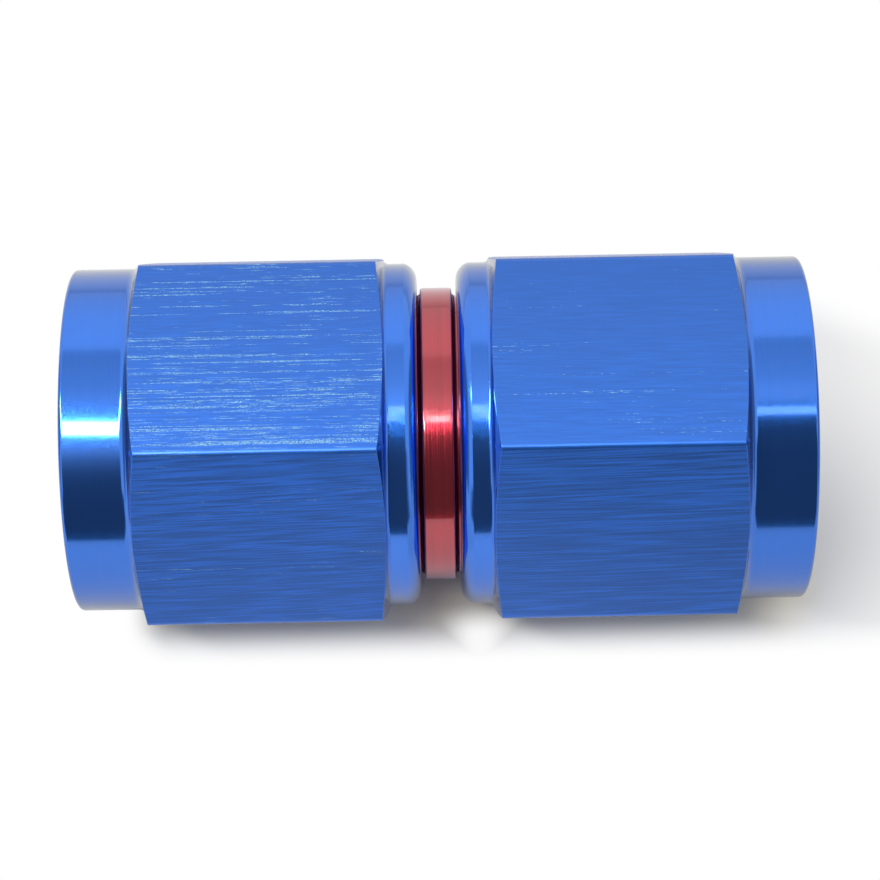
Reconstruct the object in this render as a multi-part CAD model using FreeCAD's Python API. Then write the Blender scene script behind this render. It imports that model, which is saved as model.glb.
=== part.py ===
import FreeCAD, Part
import math
import os

# Straight swivel coupler: a turned centre body with a swivel nut snapped over each end.
# All sizes are in millimetres. The axis lies along X, with the origin at the centre of the
# body's collar. Each nut rests on one of its flats, facing -Z.

# Female thread of the nuts
thread_major_dia = 22.225
thread_pitch = 1.814
minor_dia_drop = 0.98       # drop of the minor diameter below the major one, in pitches
mouth_flare = 0.15          # lead-in wider than the thread, on the radius
chamber_relief = 0.14       # run-out chamber deeper than the thread, on the radius
chamber_length = 2.0        # its slope up to the thread included
chamber_slope = 45.0        # slope of its end towards the thread, in degrees from the axis

# Outside of the nuts
collar_wall = 1.28          # metal outside the thread in the round collars
flat_step = 0.3075          # flats stand this far proud of the collars
neck_collar_length = 2.3
hex_length = 17.75
mouth_collar_length = 4.7
neck_edge_length = 0.88     # the neck collar's rounded edge, along the axis
neck_edge_angle = 15.0      # crease where that edge starts, in degrees from the axis
mouth_edge_radius = 0.3
neck_fillet = 0.35          # hollow corner between the neck collar and the hexagon
mouth_fillet = 0.65         # hollow corner between the mouth collar and the hexagon
neck_end_angle = 13.0       # slope of the hexagon's end at the neck, in degrees
mouth_end_angle = 16.0      # slope of the hexagon's end at the mouth, in degrees
ridge_radius = 0.45         # rounding of the hexagon's six long edges
back_chamfer = 0.3          # edge break of the bore that the body passes through

# Centre body
collar_width = 2.3
collar_height = 0.55        # collar stands this far proud of the body
collar_edge_radius = 0.18
collar_base_radius = 0.25   # hollow corner at the foot of the collar
flow_bore_dia = 12.5
seat_half_angle = 37.0      # flare seat, in degrees from the axis
nose_engagement = 10.35     # from the collar's face to the nose
nose_chamfer = 0.35
nose_land = 0.25            # flat ring left on the nose around the seat

# Retaining rings of round spring wire
wire_dia = 1.2
ring_setback = 4.2          # from a nut's back face to the middle of its wire
ring_gap_angle = 24.0       # opening of the ring, in degrees

# Clearances
pass_clearance = 0.17       # body inside the thread's crests when a nut is fitted, on the radius
running_clearance = 0.06    # nut on the body, on the radius
groove_clearance = 0.03     # wire in the nut's half-round groove
stop_clearance = 0.02       # wire to the wall of the body's groove at the end of the float
squeeze_clearance = 0.1     # room below the wire when it is squeezed into the body
chamber_clearance = 0.3     # nose to the first thread
min_gap = 0.1               # nut to the body's collar, pushed fully in
end_float = 0.35            # axial play of each nut
left_gap = 0.22             # the same gap where the left nut stands
right_gap = 0.32            # the same gap where the right nut stands

# Sizes that follow from the ones above
axis_x = FreeCAD.Vector(1, 0, 0)
centre = FreeCAD.Vector(0, 0, 0)
thread_major_r = thread_major_dia / 2
thread_minor_r = (thread_major_dia - minor_dia_drop * thread_pitch) / 2
mouth_r = thread_major_r + mouth_flare
chamber_r = thread_major_r + chamber_relief
chamber_rise = (chamber_r - thread_minor_r) / math.tan(math.radians(chamber_slope))
nut_collar_r = thread_major_r + collar_wall
flat_r = nut_collar_r + flat_step
corner_r = flat_r / math.cos(math.pi / 6)
neck_edge_drop = neck_edge_length * math.tan(math.radians(neck_edge_angle))
neck_edge_radius = neck_edge_length / (1 - math.sin(math.radians(neck_edge_angle)))
nut_length = neck_collar_length + hex_length + mouth_collar_length
body_r = thread_minor_r - pass_clearance
back_bore_r = body_r + running_clearance
wire_r = wire_dia / 2
ring_r = (body_r + back_bore_r) / 2
groove_floor_r = body_r - wire_dia - squeeze_clearance
half_collar = collar_width / 2
nose_x = half_collar + nose_engagement
shortest_edge = 1e-6


def profile_edges(corners):
    """Closed outline in the XZ plane from (x, radius, rounding) corners."""
    points = [FreeCAD.Vector(x, 0, r) for x, r, rounding in corners]
    count = len(points)
    starts = []
    ends = []
    edges = []
    for index, (x, r, rounding) in enumerate(corners):
        here = points[index]
        following = (index + 1) % count
        to_last = points[index - 1] - here
        to_next = points[following] - here
        half_turn = to_last.getAngle(to_next) / 2
        reach = 0.0
        if rounding > 0:
            # an edge is shared with the next corner only where that one is rounded too
            last_share = 0.5 if corners[index - 1][2] > 0 else 1.0
            next_share = 0.5 if corners[following][2] > 0 else 1.0
            room = min(to_last.Length * last_share, to_next.Length * next_share)
            reach = min(rounding / math.tan(half_turn), room)
        to_last.normalize()
        to_next.normalize()
        start = here + to_last * reach
        end = here + to_next * reach
        starts.append(start)
        ends.append(end)
        if reach > 0:
            radius = reach * math.tan(half_turn)
            inward = to_last + to_next
            inward.normalize()
            middle = here + inward * (radius / math.sin(half_turn) - radius)
            edges.append(Part.Arc(start, middle, end).toShape())
    for index, start in enumerate(starts):
        last_end = ends[index - 1]
        if last_end.distanceToPoint(start) > shortest_edge:
            edges.append(Part.LineSegment(last_end, start).toShape())
    return edges


def turned(corners):
    """Solid of revolution about the X axis."""
    wire = Part.Wire(Part.__sortEdges__(profile_edges(corners)))
    return Part.Face(wire).revolve(centre, axis_x, 360)


def hexagon_bar(length):
    """Hexagonal bar along X with flats facing up and down and rounded ridges."""
    ring = []
    for side in range(7):
        angle = side * math.pi / 3
        ring.append(FreeCAD.Vector(0, corner_r * math.cos(angle), corner_r * math.sin(angle)))
    bar = Part.Face(Part.makePolygon(ring)).extrude(axis_x * length)
    ridges = [edge for edge in bar.Edges if edge.BoundBox.XLength > length / 2]
    return bar.makeFillet(ridge_radius, ridges)


def swivel_nut():
    """Nut with its back face at the origin and its mouth towards +X."""
    blank_r = corner_r + flat_step
    neck_rise = math.tan(math.radians(neck_end_angle)) * (blank_r - nut_collar_r)
    mouth_rise = math.tan(math.radians(mouth_end_angle)) * (blank_r - nut_collar_r)
    hex_end = neck_collar_length + hex_length
    chamber_end = nose_engagement - min_gap + chamber_clearance
    bore_end = chamber_end - chamber_length
    blank = turned([
        (0, back_bore_r + back_chamfer, 0),
        (0, nut_collar_r - neck_edge_drop, neck_edge_radius),
        (neck_edge_length, nut_collar_r, 0),
        (neck_collar_length, nut_collar_r, neck_fillet),
        (neck_collar_length + neck_rise, blank_r, 0),
        (hex_end - mouth_rise, blank_r, 0),
        (hex_end, nut_collar_r, mouth_fillet),
        (nut_length, nut_collar_r, mouth_edge_radius),
        (nut_length, mouth_r, 0),
        (nut_length - (mouth_r - thread_minor_r), thread_minor_r, 0),
        (chamber_end, thread_minor_r, 0),
        (chamber_end - chamber_rise, chamber_r, 0),
        (bore_end, chamber_r, 0),
        (bore_end, back_bore_r, 0),
        (back_chamfer, back_bore_r, 0),
    ])
    ring_place = axis_x * ring_setback
    ring_groove = Part.makeTorus(ring_r, wire_r + groove_clearance, ring_place, axis_x)
    return blank.common(hexagon_bar(nut_length)).cut(ring_groove)


def coupling_body():
    """Centre body with its collar at the origin, the same at both ends."""
    ring_inner = half_collar + min_gap + ring_setback
    groove_start = ring_inner - wire_r - stop_clearance
    groove_end = ring_inner + end_float + wire_r + stop_clearance
    seat_mouth_r = body_r - nose_chamfer - nose_land
    seat_depth = (seat_mouth_r - flow_bore_dia / 2) / math.tan(math.radians(seat_half_angle))
    right_half = [
        (half_collar, body_r + collar_height, collar_edge_radius),
        (half_collar, body_r, collar_base_radius),
        (groove_start, body_r, 0),
        (groove_start, groove_floor_r, 0),
        (groove_end, groove_floor_r, 0),
        (groove_end, body_r, 0),
        (nose_x - nose_chamfer, body_r, 0),
        (nose_x, body_r - nose_chamfer, 0),
        (nose_x, seat_mouth_r, 0),
        (nose_x - seat_depth, flow_bore_dia / 2, 0),
    ]
    left_half = [(-x, r, rounding) for x, r, rounding in reversed(right_half)]
    return turned(right_half + left_half)


def retaining_ring():
    """Open ring of round wire about the origin, with its opening facing up."""
    section = Part.Face(Part.Wire(Part.makeCircle(
        wire_r, FreeCAD.Vector(0, 0, ring_r), FreeCAD.Vector(0, 1, 0))))
    section.rotate(centre, axis_x, ring_gap_angle / 2)
    return section.revolve(centre, axis_x, 360 - ring_gap_angle)


def place_right(shape, x):
    """Move a shape that faces +X out to the right-hand end."""
    moved = shape.copy()
    moved.translate(axis_x * x)
    return moved


def place_left(shape, x):
    """Turn a shape end for end and move it out to the left-hand end."""
    moved = shape.copy()
    moved.rotate(centre, FreeCAD.Vector(0, 0, 1), 180)
    moved.translate(axis_x * -x)
    return moved


nut = swivel_nut()
ring = retaining_ring()
nodes = {
    "coupling_body": coupling_body(),
    "swivel_nut_left": place_left(nut, half_collar + left_gap),
    "swivel_nut_right": place_right(nut, half_collar + right_gap),
    "retaining_ring_left": place_left(ring, half_collar + left_gap + ring_setback),
    "retaining_ring_right": place_right(ring, half_collar + right_gap + ring_setback),
}

os.makedirs("parts", exist_ok=True)
for name, shape in nodes.items():
    shape.exportStep("parts/" + name + ".step")
    print(name, "valid", shape.isValid(), "volume", round(shape.Volume, 2))
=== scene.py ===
import bpy
import bmesh
import math
from mathutils import Matrix, Vector


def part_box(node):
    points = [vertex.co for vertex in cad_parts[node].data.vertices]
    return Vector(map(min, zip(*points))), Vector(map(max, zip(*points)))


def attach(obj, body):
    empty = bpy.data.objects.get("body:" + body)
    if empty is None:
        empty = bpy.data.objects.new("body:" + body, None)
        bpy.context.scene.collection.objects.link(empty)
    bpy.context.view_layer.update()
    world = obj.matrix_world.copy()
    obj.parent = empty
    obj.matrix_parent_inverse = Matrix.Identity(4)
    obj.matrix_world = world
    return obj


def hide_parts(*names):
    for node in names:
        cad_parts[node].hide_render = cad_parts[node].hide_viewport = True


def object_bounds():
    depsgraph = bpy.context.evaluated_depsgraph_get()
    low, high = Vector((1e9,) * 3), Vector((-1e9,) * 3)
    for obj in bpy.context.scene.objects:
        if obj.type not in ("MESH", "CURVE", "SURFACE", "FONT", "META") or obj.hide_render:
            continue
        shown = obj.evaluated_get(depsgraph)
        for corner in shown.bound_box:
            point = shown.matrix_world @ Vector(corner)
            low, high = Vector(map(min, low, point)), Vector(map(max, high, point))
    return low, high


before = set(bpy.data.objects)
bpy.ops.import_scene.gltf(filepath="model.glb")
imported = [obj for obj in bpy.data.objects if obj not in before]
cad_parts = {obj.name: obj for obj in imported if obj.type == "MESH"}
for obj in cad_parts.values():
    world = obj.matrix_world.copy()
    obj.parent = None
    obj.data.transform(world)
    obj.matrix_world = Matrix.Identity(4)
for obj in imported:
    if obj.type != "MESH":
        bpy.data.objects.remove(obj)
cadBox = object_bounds()

# A straight hose coupler along X: a centre body with a swivel nut on each end, held by a wire ring.
# Lengths are in metres.

mm = 0.001
columns = 144                  # steps round the nuts and the body, a multiple of 12 for the hexagon
mergeGap = 0.001 * mm
sharpAngle = math.radians(34)  # a steeper edge between two faces is drawn sharp
leastSegments = 2              # of a rounded corner
addedSegments = 5              # for a radius of 1 mm, and for others by its square root
bevelShare = 0.99999           # of its full reach, because a bevel that takes all of an edge is cut short


# Mesh tools that every piece shares

def halfTurn(before, here, after):
    # half of the angle between the two edges that meet at a corner of an outline
    toBefore = Vector((before[0] - here[0], before[1] - here[1]))
    toAfter = Vector((after[0] - here[0], after[1] - here[1]))
    return toBefore.angle(toAfter) / 2


def drawOutline(bm, corners, closed):
    # corners are (x, radius, rounding); each rounding is a bevel of its corner
    verts = [bm.verts.new((x, 0, radius)) for x, radius, rounding in corners]
    ends = verts[1:] + verts[:1] if closed else verts[1:]
    for first, second in zip(verts, ends):
        bm.edges.new((first, second))
    for index, here in enumerate(corners):
        rounding = here[2]
        if rounding == 0:
            continue
        before = corners[index - 1]
        after = corners[(index + 1) % len(corners)]
        reach = bevelShare * rounding / math.tan(halfTurn(before, here, after))
        segments = leastSegments + round(addedSegments * math.sqrt(rounding / mm))
        bmesh.ops.bevel(bm, geom=[verts[index]], offset=reach, offset_type="OFFSET",
                        segments=segments, profile=0.5, affect="VERTICES", material=-1)


def spinAll(bm, degrees=360, steps=columns, rise=0.0, closed=True):
    bmesh.ops.spin(bm, geom=bm.verts[:] + bm.edges[:], cent=(0, 0, 0), axis=(1, 0, 0),
                   dvec=(rise, 0, 0), angle=math.radians(degrees), steps=steps,
                   use_merge=closed, use_duplicate=False)


def radiusOf(co):
    return math.hypot(co.y, co.z)


def setRadius(vert, x, radius):
    scale = radius / radiusOf(vert.co)
    vert.co = Vector((x, vert.co.y * scale, vert.co.z * scale))


def finishMesh(bm, name, materials):
    # merge doubles, face outwards, and keep flat faces flat beside their small edge breaks
    bmesh.ops.remove_doubles(bm, verts=bm.verts[:], dist=mergeGap)
    bmesh.ops.recalc_face_normals(bm, faces=bm.faces[:])
    for face in bm.faces:
        face.smooth = True
    for edge in bm.edges:
        edge.smooth = edge.smooth and edge.calc_face_angle(0) < sharpAngle
    mesh = bpy.data.meshes.new(name)
    bm.to_mesh(mesh)
    bm.free()
    for material in materials:
        mesh.materials.append(material)
    piece = bpy.data.objects.new(name, mesh)
    bpy.context.scene.collection.objects.link(piece)
    weighted = piece.modifiers.new("flatFacesStayFlat", "WEIGHTED_NORMAL")
    weighted.mode = "FACE_AREA"
    weighted.weight = 100  # all to the largest face
    weighted.keep_sharp = True
    return piece


def place(piece, node, body):
    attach(piece, body)
    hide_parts(node)
    print("made", piece.name, len(piece.data.polygons), "faces")


# Shader groups

def newGroup(name, inputs, outputs):
    group = bpy.data.node_groups.new(name, "ShaderNodeTree")
    for label, value in inputs:
        socket = group.interface.new_socket(label, in_out="INPUT", socket_type="NodeSocketFloat")
        socket.default_value = value
    for label in outputs:
        group.interface.new_socket(label, in_out="OUTPUT", socket_type="NodeSocketFloat")
    return group


def addNode(tree, kind, **settings):
    node = tree.nodes.new(kind)
    for key, value in settings.items():
        setattr(node, key, value)
    return node


def feed(tree, socket, value):
    # a socket takes a link or a plain value
    if isinstance(value, bpy.types.NodeSocket):
        tree.links.new(value, socket)
    else:
        socket.default_value = value


def maths(tree, operation, first, second=0.0, third=None):
    # result of a Math node
    node = addNode(tree, "ShaderNodeMath", operation=operation)
    feed(tree, node.inputs[0], first)
    feed(tree, node.inputs[1], second)
    if third is not None:
        feed(tree, node.inputs[2], third)
    return node.outputs[0]


def millimetres(tree):
    # place on the piece in millimetres
    coords = addNode(tree, "ShaderNodeTexCoord")
    scaled = addNode(tree, "ShaderNodeVectorMath", operation="SCALE")
    feed(tree, scaled.inputs[0], coords.outputs["Object"])
    feed(tree, scaled.inputs["Scale"], 1 / mm)
    split = addNode(tree, "ShaderNodeSeparateXYZ")
    feed(tree, split.inputs[0], scaled.outputs[0])
    return split.outputs["X"], split.outputs["Y"], split.outputs["Z"]


def diagonal(tree, first, second):
    # length across two sides that are square to each other
    squared = maths(tree, "MULTIPLY", first, first)
    return maths(tree, "SQRT", maths(tree, "MULTIPLY_ADD", second, second, squared))


def noiseAt(tree, x, y, z, detail=1.0):
    # noise from 0 to 1 whose cells are one unit of the coordinates
    vector = addNode(tree, "ShaderNodeCombineXYZ")
    for socket, value in zip(vector.inputs, (x, y, z)):
        feed(tree, socket, value)
    noise = addNode(tree, "ShaderNodeTexNoise")
    feed(tree, noise.inputs["Vector"], vector.outputs[0])
    noise.inputs["Scale"].default_value = 1.0
    noise.inputs["Detail"].default_value = detail
    return noise.outputs["Fac"]


def grainAt(tree, x, y, z, size):
    # noise whose cells have the same size in all directions
    return noiseAt(tree, *[maths(tree, "DIVIDE", value, size) for value in (x, y, z)])


def ramp(tree, value, low, high, lowOut=0.0, highOut=1.0):
    # smooth step from one level to another as a value goes from low to high
    node = addNode(tree, "ShaderNodeMapRange", interpolation_type="SMOOTHSTEP")
    feed(tree, node.inputs["Value"], value)
    amounts = {"From Min": low, "From Max": high, "To Min": lowOut, "To Max": highOut}
    for label, amount in amounts.items():
        feed(tree, node.inputs[label], amount)
    return node.outputs["Result"]


def mixColours(tree, share, first, second):
    # a Mix node's colour sockets share their labels with others, so they go by number
    node = addNode(tree, "ShaderNodeMix", data_type="RGBA")
    feed(tree, node.inputs[0], share)
    feed(tree, node.inputs[6], first)
    feed(tree, node.inputs[7], second)
    return node.outputs[2]


turnedPattern = {
    "faceRings": 0.83,         # rings on a face square to the axis, for each one along a cylinder
    "ringWander": 0.05,        # how soon a ring changes around the axis, per millimetre
    "pits": (0.52, 0.72),      # from which noise on there are pits, and where they are full
}


def buildTurnedMarks():
    # fine rings left by the lathe tool, and the grain of the etched skin
    s = turnedPattern
    group = newGroup("turnedMarks", [
        ("Ring Width", 0.09), ("Ring Depth", 0.001), ("Grain Size", 0.08), ("Grain Depth", 0.001),
        ("Pit Size", 0.1), ("Pit Depth", 0.004),
    ], ["Height", "Tone"])
    source = addNode(group, "NodeGroupInput")
    sink = addNode(group, "NodeGroupOutput")
    x, y, z = millimetres(group)
    along = maths(group, "MULTIPLY_ADD", diagonal(group, y, z), s["faceRings"], x)
    rings = noiseAt(group, maths(group, "DIVIDE", along, source.outputs["Ring Width"]),
                    maths(group, "MULTIPLY", y, s["ringWander"]),
                    maths(group, "MULTIPLY", z, s["ringWander"]), detail=2.0)
    grain = grainAt(group, x, y, z, source.outputs["Grain Size"])
    pits = ramp(group, grainAt(group, y, z, x, source.outputs["Pit Size"]), *s["pits"])
    high = maths(group, "MULTIPLY", rings, source.outputs["Ring Depth"])
    high = maths(group, "MULTIPLY_ADD", grain, source.outputs["Grain Depth"], high)
    high = maths(group, "MULTIPLY_ADD", pits, source.outputs["Pit Depth"], high)
    feed(group, sink.inputs["Height"], high)
    feed(group, sink.inputs["Tone"], rings)
    return group


groundPattern = {
    "streakStretch": 0.025,        # how soon a streak's line changes along the axis, per millimetre
    "breakShare": 0.45,            # how much the breaks in the streaks count
    "bandStretch": 0.1,            # bands in which the streaks gather, per millimetre along the axis
    "bandAcross": 0.7,             # and across it
    "bandShare": 0.35,
    "backwardFewer": -0.004,       # streaks grow fewer towards the back, per millimetre
    "streakEdge": 0.04,
    "topFlat": (12.2, 12.6),       # height of the flat that is polished more; there the tone also takes a painted shade
    "fewerBelow": 0.17,            # the other flats carry fewer streaks
    "topLines": 0.25,              # strength of the lines' tone on the top flat
    "topPaintedShade": 0.088,            # painted shade: tone taken off there, at the middle of the flat
    "topPaintedShadeBack": 0.0103,       # and more painted shade towards the back, per millimetre
    "lowerPaintedShade": 0.10,           # painted shade: tone taken off the other flats low down, full at the second of these heights
    "lowerHeights": (11.0, 2.0),
    "glitterPits": (0.4, 0.6),
}


def streaksAt(group, source, x, y, z, onTop):
    # where the pits that glitter gather: broken lines in bands
    s = groundPattern
    width = source.outputs["Streak Width"]
    across = maths(group, "DIVIDE", y, width)
    upward = maths(group, "DIVIDE", z, width)
    straight = noiseAt(group, maths(group, "MULTIPLY", x, s["streakStretch"]), across, upward, detail=0.0)
    along = maths(group, "DIVIDE", x, source.outputs["Streak Length"])
    breaks = noiseAt(group, along, upward, across)
    change = maths(group, "SUBTRACT", breaks, straight)
    streaks = maths(group, "MULTIPLY_ADD", change, s["breakShare"], straight)
    bands = noiseAt(group, maths(group, "MULTIPLY", x, s["bandStretch"]),
                    maths(group, "MULTIPLY", y, s["bandAcross"]),
                    maths(group, "MULTIPLY", z, s["bandAcross"]))
    both = maths(group, "MULTIPLY_ADD", bands, s["bandShare"], streaks)
    both = maths(group, "MULTIPLY_ADD", y, s["backwardFewer"], both)
    spare = maths(group, "MULTIPLY_ADD", onTop, -s["fewerBelow"], s["fewerBelow"])
    share = maths(group, "ADD", source.outputs["Streak Share"], spare)
    return ramp(group, both, share, maths(group, "ADD", share, s["streakEdge"]))


def groundToneAndPaintedShade(group, lines, y, z, onTop):
    # tone of the lines, fainter on the top flat; with painted shade, darker on the top flat and more so
    # towards the back, and darker low on the others
    s = groundPattern
    strength = maths(group, "MULTIPLY_ADD", onTop, s["topLines"] - 1, 1.0)
    tone = maths(group, "MULTIPLY_ADD", maths(group, "SUBTRACT", lines, 0.5), strength, 0.5)
    paintedShade = maths(group, "MULTIPLY_ADD", y, s["topPaintedShadeBack"], s["topPaintedShade"])
    paintedShade = maths(group, "MULTIPLY", onTop, paintedShade)
    paintedShadeLow = ramp(group, z, *s["lowerHeights"], 0.0, s["lowerPaintedShade"])
    return maths(group, "SUBTRACT", tone, maths(group, "ADD", paintedShade, paintedShadeLow))


def buildGroundMarks():
    # long fine lines along the flats, and streaks of tiny pits that glitter; where they glitter the colour
    # is lit up as a painted glint
    s = groundPattern
    group = newGroup("groundMarks", [
        ("Line Width", 0.12), ("Line Length", 4.0), ("Line Depth", 0.01), ("Line Slant", 0.035),
        ("Streak Width", 0.1), ("Streak Length", 2.5), ("Streak Share", 0.6),
        ("Pit Size", 0.08), ("Pit Depth", 0.01), ("Grain Depth", 0.001),
    ], ["Height", "Tone", "GlitterAndPaintedGlint"])
    source = addNode(group, "NodeGroupInput")
    sink = addNode(group, "NodeGroupOutput")
    x, y, z = millimetres(group)
    width = source.outputs["Line Width"]
    slid = maths(group, "MULTIPLY", x, source.outputs["Line Slant"])
    lines = noiseAt(group, maths(group, "DIVIDE", x, source.outputs["Line Length"]),
                    maths(group, "DIVIDE", y, width),
                    maths(group, "DIVIDE", maths(group, "SUBTRACT", z, slid), width))
    onTop = ramp(group, z, *s["topFlat"])
    streaks = streaksAt(group, source, x, y, z, onTop)
    pits = grainAt(group, x, y, z, source.outputs["Pit Size"])
    grainDepth = source.outputs["Grain Depth"]
    pitDepth = maths(group, "MULTIPLY_ADD", streaks, source.outputs["Pit Depth"], grainDepth)
    high = maths(group, "MULTIPLY", lines, source.outputs["Line Depth"])
    high = maths(group, "MULTIPLY_ADD", pits, pitDepth, high)
    # where the pits glitter: lower roughness, and a painted glint in the base colour
    glitterAndPaintedGlint = maths(group, "MULTIPLY", streaks, ramp(group, pits, *s["glitterPits"]))
    feed(group, sink.inputs["Height"], high)
    feed(group, sink.inputs["Tone"], groundToneAndPaintedShade(group, lines, y, z, onTop))
    feed(group, sink.inputs["GlitterAndPaintedGlint"], glitterAndPaintedGlint)
    return group


def placeGroup(tree, group, values):
    node = addNode(tree, "ShaderNodeGroup", node_tree=group)
    for label, value in values.items():
        node.inputs[label].default_value = value
    return node


toneRange = (0.3, 0.7)    # of the marks, from the darkest to the brightest
roughnessShift = 0.15     # either way, from the darkest to the brightest
glitterRoughness = 0.55   # of the roughness round it


def metalSkin(name, colours, group, marks, roughness, coat, coatRoughness, coatIor=1.55, toneShift=0.08):
    # a metal with a clear skin; the marks shape its bump, tone and roughness, and where its pits glitter, a
    # painted glint in its colour
    material = bpy.data.materials.new(name)
    material.use_nodes = True
    tree = material.node_tree
    shader = tree.nodes["Principled BSDF"]
    shader.inputs["Metallic"].default_value = colours["metallic"]
    shader.inputs["Coat Weight"].default_value = coat
    shader.inputs["Coat Roughness"].default_value = coatRoughness
    shader.inputs["Coat IOR"].default_value = coatIor
    shader.inputs["Specular Tint"].default_value = (*colours["glancing"], 1)
    made = placeGroup(tree, group, marks)
    # the marks' tone scales the colour; on the ground flats it carries painted shade
    tone = ramp(tree, made.outputs["Tone"], *toneRange, 1 - toneShift, 1 + toneShift)
    colour = addNode(tree, "ShaderNodeVectorMath", operation="SCALE")
    colour.inputs[0].default_value = colours["facing"]
    feed(tree, colour.inputs["Scale"], tone)
    colour = colour.outputs[0]
    # painted glint: the colour goes towards a bright glint colour where the pits glitter
    if "GlitterAndPaintedGlint" in made.outputs:
        colour = mixColours(tree, made.outputs["GlitterAndPaintedGlint"], colour, (*colours["paintedGlint"], 1))
    feed(tree, shader.inputs["Base Color"], colour)
    matt = ramp(tree, made.outputs["Tone"], *toneRange,
                roughness * (1 - roughnessShift), roughness * (1 + roughnessShift))
    if "GlitterAndPaintedGlint" in made.outputs:
        polish = ramp(tree, made.outputs["GlitterAndPaintedGlint"], 0, 1, 1, glitterRoughness)
        matt = maths(tree, "MULTIPLY", matt, polish)
    feed(tree, shader.inputs["Roughness"], matt)
    bump = addNode(tree, "ShaderNodeBump")
    bump.inputs["Strength"].default_value = 1.0
    bump.inputs["Distance"].default_value = mm
    feed(tree, bump.inputs["Height"], made.outputs["Height"])
    feed(tree, shader.inputs["Normal"], bump.outputs["Normal"])
    return material


turnedMarks = buildTurnedMarks()
groundMarks = buildGroundMarks()

finishes = {
    # the blue's last colour is a painted glint, which the ground flats take where their pits glitter
    "blue": {"facing": (0.02, 0.187, 0.81), "glancing": (0.9, 0.8, 0.55), "paintedGlint": (0.36, 0.74, 1.0),
             "metallic": 0.95},
    "red": {"facing": (0.465, 0.022, 0.042), "glancing": (1.0, 0.8, 0.8), "metallic": 0.86},
    "wire": {"facing": (0.60, 0.60, 0.62), "glancing": (1.0, 1.0, 1.0), "metallic": 1.0},
}

blueTurned = metalSkin("blueTurned", finishes["blue"], turnedMarks, {
    "Ring Width": 0.10, "Ring Depth": 0.0002, "Grain Depth": 0.0012,
    "Pit Size": 0.07, "Pit Depth": 0.0014,
}, roughness=0.115, coat=0.75, coatRoughness=0.085, coatIor=1.7, toneShift=0.02)

blueGroundLeft = metalSkin("blueGroundLeft", finishes["blue"], groundMarks, {
    "Line Width": 0.10, "Line Length": 40, "Line Depth": 0.011, "Line Slant": 0.047,
    "Streak Width": 0.06, "Streak Length": 1.2, "Streak Share": 0.77, "Pit Depth": 0.001,
}, roughness=0.45, coat=0.75, coatRoughness=0.3, coatIor=1.7, toneShift=0.24)

blueGroundRight = metalSkin("blueGroundRight", finishes["blue"], groundMarks, {
    "Line Width": 0.10, "Line Length": 40, "Line Depth": 0.011,
    "Streak Width": 0.06, "Streak Length": 0.5, "Streak Share": 0.905, "Pit Depth": 0.001,
}, roughness=0.4, coat=0.75, coatRoughness=0.25, coatIor=1.7, toneShift=0.24)

redTurned = metalSkin("redTurned", finishes["red"], turnedMarks, {
    "Ring Width": 0.10, "Ring Depth": 0.019, "Grain Depth": 0.0008,
    "Pit Size": 0.07, "Pit Depth": 0.0012,
}, roughness=0.18, coat=0.9, coatRoughness=0.05, coatIor=1.8)

springWire = metalSkin("springWire", finishes["wire"], turnedMarks, {
    "Ring Width": 0.05, "Ring Depth": 0.0005, "Grain Size": 0.2, "Grain Depth": 0.0005,
    "Pit Depth": 0.001,
}, roughness=0.22, coat=0.0, coatRoughness=0.1, toneShift=0.05)

print("materials made")


# Swivel nuts: a turned blank with six flats, and a cut thread inside

nutSizes = {
    "flatStep": 0.3075 * mm,       # the flats stand this far proud of the collars
    "neckLength": 2.3 * mm,
    "mouthLength": 4.7 * mm,
    "neckEdgeLength": 0.88 * mm,
    "neckEdgeAngle": math.radians(15),
    "mouthEdge": 0.3 * mm,
    "neckFillet": 0.35 * mm,
    "mouthFillet": 0.65 * mm,
    "neckSlope": math.radians(13),
    "mouthSlope": math.radians(16),
    "boreStep": 0.11 * mm,         # bore at the back, inside the thread's crests
    "boreChamfer": 0.3 * mm,
    "grooveSetback": 4.2 * mm,
    "grooveRadius": 0.63 * mm,
    "grooveRounding": 0.98,        # of that radius, so that the two roundings don't meet
    "chamberStart": 8.55 * mm,
    "chamberLength": 2.0 * mm,     # with the slope to the thread
    "chamberRelief": 0.14 * mm,    # outside the thread's roots
    "mouthFlare": 0.15 * mm,
    "threadMajor": 11.1125 * mm,
    "threadDepth": 0.49,           # in pitches
    "pitch": 1.814 * mm,
    "rootFlat": 0.227 * mm,
    "crestRound": 0.06 * mm,
    "flankSlope": math.radians(30),
    "hexEdgeBreak": 0.08 * mm,
    "smallEdge": 0.05 * mm,
    "ridgeRound": 0.45 * mm,
    "ridgeSteps": 4,               # columns on each side of a ridge that its rounding takes
    "gatherHeight": 0.2 * mm,      # above the collar, where the columns are fully drawn together
}


def addDerived(s):
    # sizes that follow from those above; the cones beside the thread slope by 45 degrees
    s["threadMinor"] = s["threadMajor"] - s["threadDepth"] * s["pitch"]
    s["boreRadius"] = s["threadMinor"] - s["boreStep"]
    s["mouthRadius"] = s["threadMajor"] + s["mouthFlare"]
    s["chamberRadius"] = s["threadMajor"] + s["chamberRelief"]
    slopeLength = s["chamberRadius"] - s["threadMinor"]
    s["slopeStart"] = s["chamberStart"] + s["chamberLength"] - slopeLength


addDerived(nutSizes)


def hexRadius(turn, flatRadius):
    # distance from the axis to a hexagon with rounded ridges, at an angle from its nearest ridge
    ridgeRound = nutSizes["ridgeRound"]
    toFlat = math.pi / 6 - abs(turn)
    roundCentre = (flatRadius - ridgeRound) / math.cos(math.pi / 6)
    if flatRadius * math.tan(toFlat) <= roundCentre * math.sin(math.pi / 6):
        return flatRadius / math.cos(toFlat)
    across = roundCentre * math.sin(turn)
    return roundCentre * math.cos(turn) + math.sqrt(ridgeRound ** 2 - across ** 2)


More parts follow.
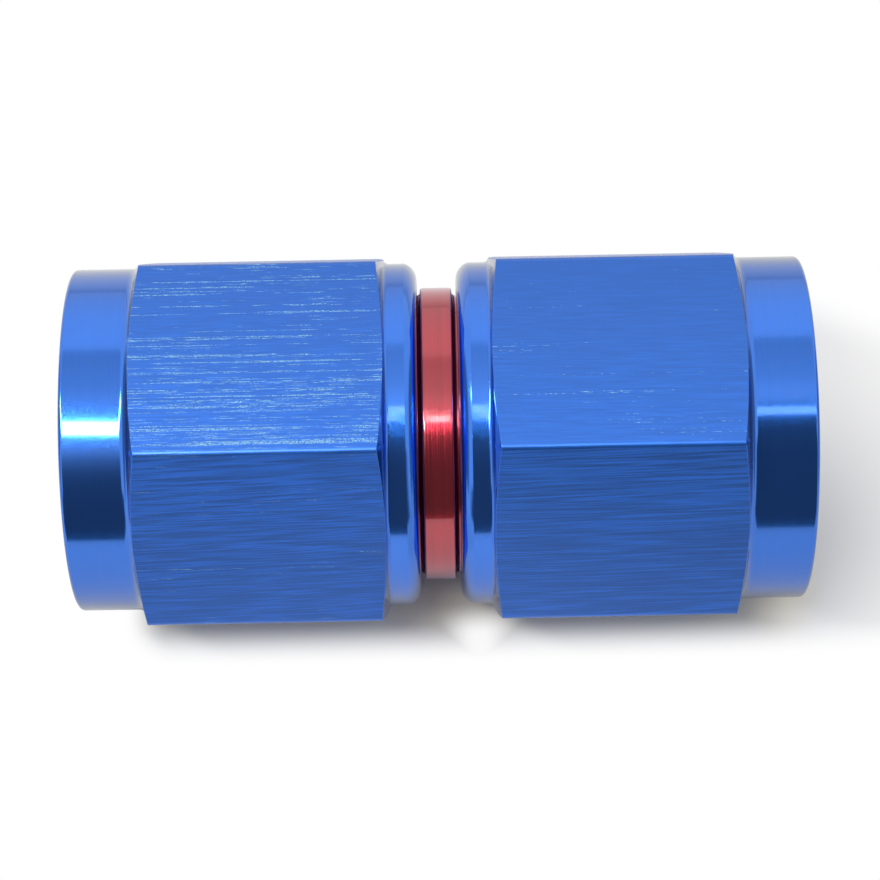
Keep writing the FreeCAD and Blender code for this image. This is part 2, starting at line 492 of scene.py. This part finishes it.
def gatherColumn(co, roundTurn, share):
    # columns are drawn together at the ridges by a share; gives the ridge's angle and the angle from it
    perSide = columns // 6
    ridgeSteps = nutSizes["ridgeSteps"]
    column = round(math.atan2(co.z, co.y) / (2 * math.pi) * columns)
    ridge = round(column / perSide)
    steps = column - ridge * perSide
    if abs(steps) <= ridgeSteps:
        gathered = roundTurn * abs(steps) / ridgeSteps
    else:
        rest = (abs(steps) - ridgeSteps) / (perSide / 2 - ridgeSteps)
        gathered = roundTurn + (math.pi / 6 - roundTurn) * rest
    even = 2 * math.pi * abs(steps) / columns
    return ridge * math.pi / 3, math.copysign(even + (gathered - even) * share, steps)


def endSetback(height, fillet, slope):
    # how far the hexagon's end leans in from its foot, at a height above the collar
    if height >= fillet * (1 - math.sin(slope)):
        return height * math.tan(slope)
    return math.sqrt(height * (2 * fillet - height)) - fillet * math.tan((math.pi / 2 - slope) / 2)


def hexEnds(length, height):
    # how each end of the hexagon rises from its foot on the collar to the height of the corners
    s = nutSizes
    neckEnd = {"foot": s["neckLength"], "inward": 1, "fillet": s["neckFillet"], "slope": s["neckSlope"]}
    mouthEnd = {"foot": length - s["mouthLength"], "inward": -1, "fillet": s["mouthFillet"],
                "slope": s["mouthSlope"]}
    for end in (neckEnd, mouthEnd):
        end["cornerX"] = end["foot"] + end["inward"] * math.tan(end["slope"]) * height
        end["reach"] = s["hexEdgeBreak"] / math.tan((math.pi / 2 + end["slope"]) / 2)
    return neckEnd, mouthEnd


def pullInFlats(bm, length, flatRadius, ends):
    # the ring at the corners' radius comes in to the six flats, along the ends' own shape
    s = nutSizes
    collar = flatRadius - s["flatStep"]
    cornerHeight = flatRadius / math.cos(math.pi / 6) - collar
    flats = {vert for vert in bm.verts if radiusOf(vert.co) > collar + cornerHeight / 2}
    for face in bm.faces:
        face.material_index = 1 if flats.issuperset(face.verts) else 0
    roundTurn = math.pi / 6 - math.atan((1 - s["ridgeRound"] / flatRadius) * math.tan(math.pi / 6))
    for vert in bm.verts:
        x = vert.co.x
        radius = radiusOf(vert.co)
        if radius < s["mouthRadius"] + mergeGap:
            continue
        end = ends[0] if x < length / 2 else ends[1]
        share = min(max(radius - collar, 0) / s["gatherHeight"], 1)
        ridge, turn = gatherColumn(vert.co, roundTurn, share)
        edgeHeight = hexRadius(turn, flatRadius) - collar
        setback = endSetback(edgeHeight, end["fillet"], end["slope"])
        edgeStart = edgeHeight - end["reach"] * math.cos(end["slope"])
        if vert in flats:
            x += end["inward"] * (setback - endSetback(cornerHeight, end["fillet"], end["slope"]))
            radius += edgeHeight - cornerHeight
        elif radius - collar > edgeStart:
            x = end["foot"] + end["inward"] * (setback - end["reach"] * math.sin(end["slope"]))
            radius = collar + edgeStart
        angle = ridge + turn
        vert.co = Vector((x, radius * math.cos(angle), radius * math.sin(angle)))


def nutOutside(bm, length, flatRadius):
    s = nutSizes
    collar = flatRadius - s["flatStep"]
    cornerRadius = flatRadius / math.cos(math.pi / 6)
    neckEnd, mouthEnd = hexEnds(length, cornerRadius - collar)
    edgeDrop = s["neckEdgeLength"] * math.tan(s["neckEdgeAngle"])
    edgeRadius = s["neckEdgeLength"] / (1 - math.sin(s["neckEdgeAngle"]))
    grooveStart = s["grooveSetback"] - s["grooveRadius"]
    grooveEnd = s["grooveSetback"] + s["grooveRadius"]
    grooveFloor = s["boreRadius"] + s["grooveRadius"]
    grooveRounding = s["grooveRadius"] * s["grooveRounding"]
    drawOutline(bm, [
        (s["slopeStart"], s["chamberRadius"], 0),
        (s["chamberStart"], s["chamberRadius"], s["smallEdge"]),
        (s["chamberStart"], s["boreRadius"], s["smallEdge"]),
        (grooveEnd, s["boreRadius"], 0),
        (grooveEnd, grooveFloor, grooveRounding),
        (grooveStart, grooveFloor, grooveRounding),
        (grooveStart, s["boreRadius"], 0),
        (s["boreChamfer"], s["boreRadius"], 0),
        (0, s["boreRadius"] + s["boreChamfer"], s["smallEdge"]),
        (0, collar - edgeDrop, edgeRadius),
        (s["neckEdgeLength"], collar, 0),
        (neckEnd["foot"], collar, s["neckFillet"]),
        (neckEnd["cornerX"], cornerRadius, s["hexEdgeBreak"]),
        (mouthEnd["cornerX"], cornerRadius, s["hexEdgeBreak"]),
        (mouthEnd["foot"], collar, s["mouthFillet"]),
        (length, collar, s["mouthEdge"]),
        (length, s["mouthRadius"], 0),
    ], closed=False)
    spinAll(bm)
    for edge in bm.edges:
        onCrease = all(abs(vert.co.x - s["neckEdgeLength"]) < mergeGap for vert in edge.verts)
        edge.smooth = not onCrease
    pullInFlats(bm, length, flatRadius, (neckEnd, mouthEnd))
    bmesh.ops.remove_doubles(bm, verts=bm.verts[:], dist=mergeGap)


def trimThread(bm, length):
    # the cones of the run-out chamber and of the mouth cut the thread's ends
    s = nutSizes
    for vert in bm.verts:
        x = vert.co.x
        if x <= s["slopeStart"] + mergeGap:
            setRadius(vert, s["slopeStart"], s["chamberRadius"])
        elif x >= length - mergeGap:
            setRadius(vert, length, s["mouthRadius"])
        else:
            mouthCone = s["mouthRadius"] - (length - x)
            chamberCone = s["chamberRadius"] - (x - s["slopeStart"])
            setRadius(vert, x, max(radiusOf(vert.co), mouthCone, chamberCone))
    bmesh.ops.remove_doubles(bm, verts=bm.verts[:], dist=mergeGap)


def nutThread(bm, length):
    # one turn of the thread is spun along a screw and repeated, then trimmed
    s = nutSizes
    flank = (s["threadMajor"] - s["threadMinor"]) * math.tan(s["flankSlope"])
    crest = s["pitch"] - s["rootFlat"] - 2 * flank
    start = s["slopeStart"] - s["pitch"]
    drawOutline(bm, [
        (start, s["threadMinor"], 0),
        (start + crest, s["threadMinor"], s["crestRound"]),
        (start + crest + flank, s["threadMajor"], s["crestRound"]),
        (start + crest + flank + s["rootFlat"], s["threadMajor"], s["crestRound"]),
        (start + s["pitch"], s["threadMinor"], 0),
    ], closed=False)
    spinAll(bm, rise=s["pitch"] / columns, closed=False)
    firstTurn = bm.verts[:] + bm.edges[:] + bm.faces[:]
    for turn in range(1, math.ceil((length - start) / s["pitch"]) + 1):
        copied = bmesh.ops.duplicate(bm, geom=firstTurn)["geom"]
        newVerts = [item for item in copied if isinstance(item, bmesh.types.BMVert)]
        bmesh.ops.translate(bm, vec=(turn * s["pitch"], 0, 0), verts=newVerts)
    trimThread(bm, length)


def makeNut(name, node, body, groundMaterial):
    low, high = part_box(node)
    length = high.x - low.x
    bm = bmesh.new()
    nutOutside(bm, length, high.z)
    inside = bmesh.new()
    nutThread(inside, length)
    threadMesh = bpy.data.meshes.new("threadDraft")
    inside.to_mesh(threadMesh)
    inside.free()
    bm.from_mesh(threadMesh)
    bpy.data.meshes.remove(threadMesh)
    facesRight = high.x > -low.x
    if facesRight:
        move = Matrix.Translation((low.x, 0, 0))
    else:
        move = Matrix.Translation((high.x, 0, 0)) @ Matrix.Rotation(math.pi, 4, "Z")
    bmesh.ops.transform(bm, matrix=move, verts=bm.verts[:])
    piece = finishMesh(bm, name, [blueTurned, groundMaterial])
    place(piece, node, body)


makeNut("leftSwivelNut", "swivel_nut_left", "left_nut", blueGroundLeft)
makeNut("rightSwivelNut", "swivel_nut_right", "right_nut", blueGroundRight)


# Centre body: one turned piece with a collar, two ring grooves, two flare seats and the flow bore

bodySizes = {
    "collarHeight": 0.55 * mm,     # above the body
    "collarWidth": 2.3 * mm,
    "collarEdge": 0.18 * mm,
    "collarBase": 0.25 * mm,
    "holdingLoop": 0.28 * mm,      # from the collar's faces, keeps its outside shaded as a true cylinder
    "boreRadius": 6.25 * mm,
    "grooveStart": 4.83 * mm,
    "grooveEnd": 6.42 * mm,
    "grooveDepth": 1.3 * mm,
    "noseChamfer": 0.35 * mm,
    "noseLand": 0.25 * mm,
    "seatSlope": math.radians(37),
    "seatEdge": 0.12 * mm,
    "smallEdge": 0.04 * mm,
}


def makeBody():
    s = bodySizes
    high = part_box("coupling_body")[1]
    nose = high.x
    radius = high.z - s["collarHeight"]
    grooveFloor = radius - s["grooveDepth"]
    seatMouth = radius - s["noseChamfer"] - s["noseLand"]
    seatDepth = (seatMouth - s["boreRadius"]) / math.tan(s["seatSlope"])
    half = s["collarWidth"] / 2
    rightHalf = [
        (half - s["holdingLoop"], high.z, 0),
        (half, high.z, s["collarEdge"]),
        (half, radius, s["collarBase"]),
        (s["grooveStart"], radius, s["smallEdge"]),
        (s["grooveStart"], grooveFloor, s["smallEdge"]),
        (s["grooveEnd"], grooveFloor, s["smallEdge"]),
        (s["grooveEnd"], radius, s["smallEdge"]),
        (nose - s["noseChamfer"], radius, s["smallEdge"]),
        (nose, radius - s["noseChamfer"], s["smallEdge"]),
        (nose, seatMouth, s["smallEdge"]),
        (nose - seatDepth, s["boreRadius"], s["seatEdge"]),
    ]
    leftHalf = [(-x, height, rounding) for x, height, rounding in reversed(rightHalf)]
    bm = bmesh.new()
    drawOutline(bm, rightHalf + leftHalf, closed=True)
    spinAll(bm)
    piece = finishMesh(bm, "centreBody", [redTurned])
    place(piece, "coupling_body", "body")


makeBody()


# Retaining rings: round wire bent to an open ring

ringSizes = {
    "wireRadius": 0.6 * mm,
    "gap": 24,              # degrees
    "wireSteps": 20,
    "turnSteps": 96,
    "endEdge": 0.1 * mm,
}


def makeRing(name, node, body):
    s = ringSizes
    low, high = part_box(node)
    middle = (low.x + high.x) / 2
    ringRadius = -low.z - s["wireRadius"]
    bm = bmesh.new()
    bmesh.ops.create_circle(bm, cap_ends=False, segments=s["wireSteps"], radius=s["wireRadius"])
    stand = Matrix.Translation((0, 0, ringRadius)) @ Matrix.Rotation(math.pi / 2, 4, "X")
    toGap = Matrix.Rotation(math.radians(s["gap"] / 2), 4, "X")
    bmesh.ops.transform(bm, matrix=toGap @ stand, verts=bm.verts[:])
    spinAll(bm, 360 - s["gap"], s["turnSteps"], closed=False)
    rims = [edge for edge in bm.edges if edge.is_boundary]
    caps = bmesh.ops.holes_fill(bm, edges=rims, sides=s["wireSteps"])["faces"]
    rims = [edge for cap in caps for edge in cap.edges]
    bmesh.ops.bevel(bm, geom=rims, offset=s["endEdge"], offset_type="OFFSET", segments=2,
                    profile=0.5, affect="EDGES", material=-1)
    bmesh.ops.transform(bm, matrix=Matrix.Translation((middle, 0, 0)), verts=bm.verts[:])
    piece = finishMesh(bm, name, [springWire])
    place(piece, node, body)


makeRing("leftRetainingRing", "retaining_ring_left", "left_ring")
makeRing("rightRetainingRing", "retaining_ring_right", "right_ring")


# Floor: to the camera it fades to white away from the object's shadow

floorLook = {
    "side": 0.6,                             # from the object, as the next two
    "front": 0.18,
    "back": 1.2,
    "tint": (0.74, 0.74, 0.74, 1),           # in the light that it throws back
    "endPaintedShadeTint": (0.63, 0.63, 0.63, 1),        # the same towards both ends, darker there as painted shade
    "seen": (0.97, 0.97, 0.95, 1),           # the same floor to the camera
    "seenNearPaintedWarmth": (0.95, 0.88, 0.68, 1),       # beside the object: a painted warm tint, which cancels the blue light that the object throws on the floor
    # the rest is in millimetres, along the axis and towards the back; a span is a rectangle, and a
    # reach the distances from it between which its effect fades
    "nearSpan": ((-24, 24), (-7.3, 7.3)),
    "nearReach": (6, 1),
    "tintSpan": ((-14, 8), (-400, 400)),
    "tintReach": (14, 0),
    "tintBack": (0, 15),
    "shadowSpan": ((-20.5, 33), (-9.5, 18)),
    "shadowReach": (0, 3.5),
    # painted light between the nuts' shadows: a share of white inside the shadow
    "paintedGapLight": {"middle": 2.8, "reach": (3.6, 0.2), "share": 0.9, "front": (-8, -10.8)},
    # painted light beyond the right end: shares of white that thin the shadow, growing towards the back
    "paintedEndLight": {"back": (-6, 12), "shares": (0.08, 0.5), "beyond": (22, 26)},
}


def outsideOf(tree, x, y, spans):
    # distance in the floor's plane from a rectangle
    sides = []
    for value, (low, high) in zip((x, y), spans):
        away = maths(tree, "ABSOLUTE", maths(tree, "SUBTRACT", value, (low + high) / 2))
        sides.append(maths(tree, "MAXIMUM", maths(tree, "SUBTRACT", away, (high - low) / 2), 0.0))
    return diagonal(tree, *sides)


def floorTint(tree, x, y, toCamera):
    s = floorLook
    # painted warm tint beside the object, against the blue light that it throws on the floor
    near = ramp(tree, outsideOf(tree, x, y, s["nearSpan"]), *s["nearReach"])
    seen = mixColours(tree, near, s["seen"], s["seenNearPaintedWarmth"])
    # painted shade: in front of both ends the floor that the surfaces mirror is darker
    middle = ramp(tree, outsideOf(tree, x, y, s["tintSpan"]), *s["tintReach"])
    middle = maths(tree, "MAXIMUM", middle, ramp(tree, y, *s["tintBack"]))
    lit = mixColours(tree, middle, s["endPaintedShadeTint"], s["tint"])
    return mixColours(tree, toCamera, lit, seen)


def floorFade(tree, x, y):
    # share of plain white over the floor: away from the shadow, and as painted light inside it, between the
    # nuts' shadows and beyond the right end
    s = floorLook
    away = ramp(tree, outsideOf(tree, x, y, s["shadowSpan"]), *s["shadowReach"])
    # painted light between the nuts' shadows
    gap = s["paintedGapLight"]
    fromMiddle = maths(tree, "ABSOLUTE", maths(tree, "SUBTRACT", x, gap["middle"]))
    between = ramp(tree, fromMiddle, *gap["reach"], 0.0, gap["share"])
    between = maths(tree, "MULTIPLY", between, ramp(tree, y, *gap["front"]))
    # painted light that thins the shadow beyond the right end
    end = s["paintedEndLight"]
    beyond = ramp(tree, y, *end["back"], *end["shares"])
    beyond = maths(tree, "MULTIPLY", beyond, ramp(tree, x, *end["beyond"]))
    return maths(tree, "MAXIMUM", away, maths(tree, "MAXIMUM", between, beyond))


def paperMaterial():
    material = bpy.data.materials.new("paper")
    material.use_nodes = True
    tree = material.node_tree
    shader = tree.nodes["Principled BSDF"]
    shader.inputs["Roughness"].default_value = 1.0
    shader.inputs["Specular IOR Level"].default_value = 0.0
    x, y = millimetres(tree)[:2]
    toCamera = addNode(tree, "ShaderNodeLightPath").outputs["Is Camera Ray"]
    feed(tree, shader.inputs["Base Color"], floorTint(tree, x, y, toCamera))
    # the camera sees white away from the shadow and painted light in parts of it; every other ray meets the
    # paper
    white = addNode(tree, "ShaderNodeEmission")
    blend = addNode(tree, "ShaderNodeMixShader")
    feed(tree, blend.inputs["Fac"], maths(tree, "MULTIPLY", floorFade(tree, x, y), toCamera))
    feed(tree, blend.inputs[1], shader.outputs["BSDF"])
    feed(tree, blend.inputs[2], white.outputs["Emission"])
    feed(tree, tree.nodes["Material Output"].inputs["Surface"], blend.outputs["Shader"])
    return material


def makeFloor():
    s = floorLook
    bm = bmesh.new()
    bmesh.ops.create_grid(bm, x_segments=4, y_segments=4, size=1)
    depth = s["back"] + s["front"]
    bmesh.ops.scale(bm, vec=(s["side"], depth / 2, 1), verts=bm.verts[:])
    bmesh.ops.translate(bm, vec=(0, s["back"] - depth / 2, cadBox[0].z), verts=bm.verts[:])
    mesh = bpy.data.meshes.new("floor")
    bm.to_mesh(mesh)
    bm.free()
    floor = bpy.data.objects.new("floor", mesh)
    bpy.context.scene.collection.objects.link(floor)
    mesh.materials.append(paperMaterial())


makeFloor()


# Lamps: strips overhead that face the object. Their places and sizes are angles in degrees, seen
# from the object, and the height is that of a lamp's inner end

lampDistance = 0.45
lamps = {
    "leftLamp": {"from": -5.8, "to": -39, "height": 68.7, "slant": 32, "width": 10, "radiance": 18},
    "collarLamp": {"from": -0.38, "to": 0.38, "height": 75, "width": 8.5, "radiance": 1.8},
    "collarCore": {"from": -0.38, "to": 0.38, "height": 75, "width": 5, "radiance": 6, "nearer": 0.004},
    "leftNeckLamp": {"from": -1.25, "to": -0.48, "height": 79.5, "width": 5, "radiance": 5.6},
    "rightNeckLamp": {"from": 0.48, "to": 1.25, "height": 79.5, "width": 5, "radiance": 5.6},
    "rightLamp": {"from": 5.8, "to": 30, "height": 74.5, "width": 6, "radiance": 2.3},
}


def makeLamp(name, lamp):
    # of two lamps in one plane only one shines in a reflection, so the core is a little nearer
    reach = lampDistance - lamp.get("nearer", 0)
    height = math.radians(lamp["height"])
    slant = math.radians(lamp.get("slant", 0))
    inner, outer = [reach * math.tan(math.radians(lamp[end])) for end in ("from", "to")]
    data = bpy.data.lights.new(name, "AREA")
    data.shape = "RECTANGLE"
    data.size = abs(outer - inner) / math.cos(slant)
    data.size_y = 2 * reach * math.tan(math.radians(lamp["width"] / 2))
    data.energy = lamp["radiance"] * math.pi * data.size * data.size_y
    light = bpy.data.objects.new(name, data)
    backward = abs(outer - inner) / 2 * math.tan(slant)
    light.location = ((inner + outer) / 2, backward - math.cos(height) * reach, math.sin(height) * reach)
    light.rotation_euler = (height - math.pi / 2, 0, -slant)
    light.visible_camera = False
    bpy.context.scene.collection.objects.link(light)


for lampName, lampSizes in lamps.items():
    makeLamp(lampName, lampSizes)


# World: what the surfaces mirror. The turn is an angle in degrees from the front horizon over the top
# to the back, and the sideways share of a direction runs from 0 to 1 at the ends

mirrored = {
    "levels": ((0, 0.11), (40, 0.11), (55, 0.13), (62, 0.16), (68, 0.24), (75, 0.5), (83, 1.15),
               (91, 1.1), (97, 0.94), (120, 0.77), (125, 0.80), (128, 1.04), (135, 1.05),
               (155, 0.98), (180, 0.8)),
    "topLevel": 1.25,
    "edgeMoves": (24, -8),          # turn that the dark zone's edge moves by towards the left and the right
    "movedFrom": 0.12,              # sideways share where it has moved fully
    "movingTurns": (90, 60),        # between them the move sets in
    "outerLevel": 0.87,             # beside the middle, up to the step behind the lamps
    "outerShares": (0.02, 0.1),
    "outerTurns": (128, 124),
    "sideLevel": 0.95,              # beside the dark zone, which is wider low in front
    "darkTurns": (40, 56),
    "darkShares": (0.6, 0.3),
    "darkEdge": 0.2,
    "endLevel": 0.3,
    "endShares": (0.82, 0.9),
}


def levelRamp(tree, turn):
    # the levels over the top, as a colour ramp from 0 to 180 degrees
    node = addNode(tree, "ShaderNodeValToRGB")
    feed(tree, node.inputs["Fac"], maths(tree, "DIVIDE", turn, 180.0))
    stops = node.color_ramp.elements
    for angle, level in mirrored["levels"]:
        stop = stops[0] if angle == 0 else stops[-1] if angle == 180 else stops.new(angle / 180)
        stop.color = (*[level / mirrored["topLevel"]] * 3, 1)
    return maths(tree, "MULTIPLY", node.outputs["Color"], mirrored["topLevel"])


def makeWorld():
    s = mirrored
    world = bpy.data.worlds.new("studioWorld")
    world.use_nodes = True
    tree = world.node_tree
    coords = addNode(tree, "ShaderNodeTexCoord")
    split = addNode(tree, "ShaderNodeSeparateXYZ")
    feed(tree, split.inputs[0], coords.outputs["Generated"])
    side = split.outputs["X"]
    outward = maths(tree, "ABSOLUTE", side)
    front = maths(tree, "MULTIPLY", split.outputs["Y"], -1.0)
    upward = maths(tree, "MAXIMUM", split.outputs["Z"], 0.0)
    turn = maths(tree, "DEGREES", maths(tree, "ARCTAN2", upward, front))
    leftMove, rightMove = s["edgeMoves"]
    moved = maths(tree, "ADD", ramp(tree, side, 0.0, -s["movedFrom"], 0.0, leftMove),
                  ramp(tree, side, 0.0, s["movedFrom"], 0.0, rightMove))
    turn = maths(tree, "MULTIPLY_ADD", moved, ramp(tree, turn, *s["movingTurns"]), turn)
    outer = maths(tree, "MULTIPLY", ramp(tree, outward, *s["outerShares"]),
                  ramp(tree, turn, *s["outerTurns"]))
    outerGlow = ramp(tree, outer, 0.0, 1.0, 1.0, s["outerLevel"])
    glow = maths(tree, "MULTIPLY", levelRamp(tree, turn), outerGlow)
    darkShare = ramp(tree, turn, *s["darkTurns"], *s["darkShares"])
    toSide = ramp(tree, outward, darkShare, maths(tree, "ADD", darkShare, s["darkEdge"]))
    toEnd = ramp(tree, outward, *s["endShares"])
    for share, level in ((toSide, s["sideLevel"]), (toEnd, s["endLevel"])):
        change = maths(tree, "SUBTRACT", level, glow)
        glow = maths(tree, "MULTIPLY_ADD", change, share, glow)
    # the camera itself sees plain white
    toCamera = addNode(tree, "ShaderNodeLightPath").outputs["Is Camera Ray"]
    toWhite = maths(tree, "SUBTRACT", 1.0, glow)
    background = tree.nodes["Background"]
    background.inputs["Color"].default_value = (1, 1, 1, 1)
    feed(tree, background.inputs["Strength"], maths(tree, "MULTIPLY_ADD", toWhite, toCamera, glow))
    bpy.context.scene.world = world


makeWorld()


# Camera: above the object on the viewer's side, rolled a little

viewpoint = {
    "elevation": math.radians(64.2),
    "roll": math.radians(1.10),
    "distance": 208.6 * mm,
    "rightShift": 0.13 * mm,
    "upShift": -0.48 * mm,
    "lens": 117.1,
    "sensorWidth": 36,
    "clipStart": 0.01,
}


def makeCamera():
    s = viewpoint
    elevation = s["elevation"]
    forward = Vector((0, math.cos(elevation), -math.sin(elevation)))
    level = Vector((1, 0, 0))
    upright = Vector((0, math.sin(elevation), math.cos(elevation)))
    right = level * math.cos(s["roll"]) - upright * math.sin(s["roll"])
    up = level * math.sin(s["roll"]) + upright * math.cos(s["roll"])
    data = bpy.data.cameras.new("viewCamera")
    data.lens = s["lens"]
    data.sensor_width = s["sensorWidth"]
    data.clip_start = s["clipStart"]
    camera = bpy.data.objects.new("viewCamera", data)
    axes = Matrix((right, up, -forward)).transposed().to_4x4()
    spot = right * s["rightShift"] + up * s["upShift"] - forward * s["distance"]
    camera.matrix_world = Matrix.Translation(spot) @ axes
    bpy.context.scene.collection.objects.link(camera)
    bpy.context.scene.camera = camera


makeCamera()
bpy.context.scene.view_settings.view_transform = "Standard"
print("studio made")
